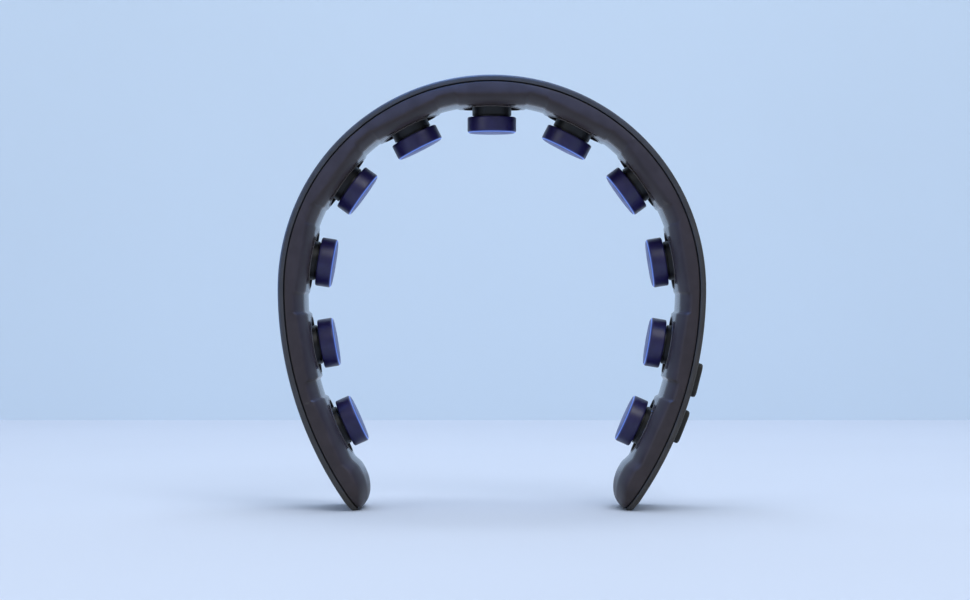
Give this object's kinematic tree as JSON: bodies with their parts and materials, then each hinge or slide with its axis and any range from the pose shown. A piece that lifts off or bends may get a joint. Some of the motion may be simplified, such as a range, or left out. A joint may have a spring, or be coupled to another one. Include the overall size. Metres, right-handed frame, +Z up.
{
  "type": "neck massager",
  "caption": "C-shaped neck massager band with a row of sprung vibrating heads round its inner side, a thin outer cover, and push keys and a charging socket on one arm.",
  "frame": {"origin": "on the ground midway between the arm ends the band stands on", "axes": "+X towards the arm with the keys, +Y across the band's width towards the charging socket's side, +Z up towards the back of the neck"},
  "size_m": [0.16, 0.038, 0.1621],
  "materials": {
    "cover": "fine satin grain, warm black",
    "housing": "fine satin grain, charcoal",
    "seal": "matt black",
    "cap": "soft matt silicone, deep navy",
    "stem": "smooth black",
    "spring": "bare drawn wire",
    "chassis": "rolled spring strip",
    "motor": "pressed steel can",
    "screw": "plain machined",
    "key": "matt black rubber",
    "switch": "stamped cover",
    "board": "green solder mask",
    "cell": "foil pouch",
    "ribbon": "amber film",
    "light": "clear moulded plastic",
    "socket": "drawn steel shell"
  },
  "bodies": {
    "band": {"outer_cover": "cover", "neck_side_housing": "housing", "seam_seal": "seal", "head_spring_01": "spring", "head_spring_02": "spring", "head_spring_03": "spring", "head_spring_04": "spring", "head_spring_05": "spring", "head_spring_06": "spring", "head_spring_07": "spring", "head_spring_08": "spring", "head_spring_09": "spring", "head_spring_10": "spring", "head_spring_11": "spring", "spring_steel_chassis": "chassis", "chassis_screw_left": "screw", "chassis_screw_right": "screw", "power_switch": "switch", "mode_switch": "switch", "key_board": "board", "status_light_pipe": "light", "battery_cell": "cell", "flex_ribbon": "ribbon", "charging_socket": "socket", "main_board": "board"},
    "head_01": {"head_cap_01": "cap", "head_stem_01": "stem", "head_motor_01": "motor"},
    "head_02": {"head_cap_02": "cap", "head_stem_02": "stem", "head_motor_02": "motor"},
    "head_03": {"head_cap_03": "cap", "head_stem_03": "stem", "head_motor_03": "motor"},
    "head_04": {"head_cap_04": "cap", "head_stem_04": "stem", "head_motor_04": "motor"},
    "head_05": {"head_cap_05": "cap", "head_stem_05": "stem", "head_motor_05": "motor"},
    "head_06": {"head_cap_06": "cap", "head_stem_06": "stem", "head_motor_06": "motor"},
    "head_07": {"head_cap_07": "cap", "head_stem_07": "stem", "head_motor_07": "motor"},
    "head_08": {"head_cap_08": "cap", "head_stem_08": "stem", "head_motor_08": "motor"},
    "head_09": {"head_cap_09": "cap", "head_stem_09": "stem", "head_motor_09": "motor"},
    "head_10": {"head_cap_10": "cap", "head_stem_10": "stem", "head_motor_10": "motor"},
    "head_11": {"head_cap_11": "cap", "head_stem_11": "stem", "head_motor_11": "motor"},
    "power_key": {"power_key": "key"},
    "mode_key": {"mode_key": "key"}
  },
  "joints": [
    {"name": "head_01_press", "type": "slide", "parent": "band", "child": "head_01", "axis": [-0.9142, 0, -0.4052], "range_m": [0, 0.0025], "stiffness_N_per_m": 300, "springref_m": -0.002, "deforming": ["head_spring_01"]},
    {"name": "head_02_press", "type": "slide", "parent": "band", "child": "head_02", "axis": [-0.9863, 0, -0.1652], "range_m": [0, 0.0025], "stiffness_N_per_m": 300, "springref_m": -0.002, "deforming": ["head_spring_02"]},
    {"name": "head_03_press", "type": "slide", "parent": "band", "child": "head_03", "axis": [-0.9873, 0, 0.1589], "range_m": [0, 0.0025], "stiffness_N_per_m": 300, "springref_m": -0.002, "deforming": ["head_spring_03"]},
    {"name": "head_04_press", "type": "slide", "parent": "band", "child": "head_04", "axis": [-0.808, 0, 0.5891], "range_m": [0, 0.0025], "stiffness_N_per_m": 300, "springref_m": -0.002, "deforming": ["head_spring_04"]},
    {"name": "head_05_press", "type": "slide", "parent": "band", "child": "head_05", "axis": [-0.4533, 0, 0.8914], "range_m": [0, 0.0025], "stiffness_N_per_m": 300, "springref_m": -0.002, "deforming": ["head_spring_05"]},
    {"name": "head_06_press", "type": "slide", "parent": "band", "child": "head_06", "axis": [0, 0, 1], "range_m": [0, 0.0025], "stiffness_N_per_m": 300, "springref_m": -0.002, "deforming": ["head_spring_06"]},
    {"name": "head_07_press", "type": "slide", "parent": "band", "child": "head_07", "axis": [0.4533, 0, 0.8914], "range_m": [0, 0.0025], "stiffness_N_per_m": 300, "springref_m": -0.002, "deforming": ["head_spring_07"]},
    {"name": "head_08_press", "type": "slide", "parent": "band", "child": "head_08", "axis": [0.808, 0, 0.5891], "range_m": [0, 0.0025], "stiffness_N_per_m": 300, "springref_m": -0.002, "deforming": ["head_spring_08"]},
    {"name": "head_09_press", "type": "slide", "parent": "band", "child": "head_09", "axis": [0.9873, 0, 0.1589], "range_m": [0, 0.0025], "stiffness_N_per_m": 300, "springref_m": -0.002, "deforming": ["head_spring_09"]},
    {"name": "head_10_press", "type": "slide", "parent": "band", "child": "head_10", "axis": [0.9863, 0, -0.1652], "range_m": [0, 0.0025], "stiffness_N_per_m": 300, "springref_m": -0.002, "deforming": ["head_spring_10"]},
    {"name": "head_11_press", "type": "slide", "parent": "band", "child": "head_11", "axis": [0.9142, 0, -0.4052], "range_m": [0, 0.0025], "stiffness_N_per_m": 300, "springref_m": -0.002, "deforming": ["head_spring_11"]},
    {"name": "power_key_press", "type": "slide", "parent": "band", "child": "power_key", "axis": [-0.9698, 0, 0.2441], "range_m": [0, 0.0004], "stiffness_N_per_m": 800, "springref_m": -0.001},
    {"name": "mode_key_press", "type": "slide", "parent": "band", "child": "mode_key", "axis": [-0.9295, 0, 0.3688], "range_m": [0, 0.0004], "stiffness_N_per_m": 800, "springref_m": -0.001}
  ]
}
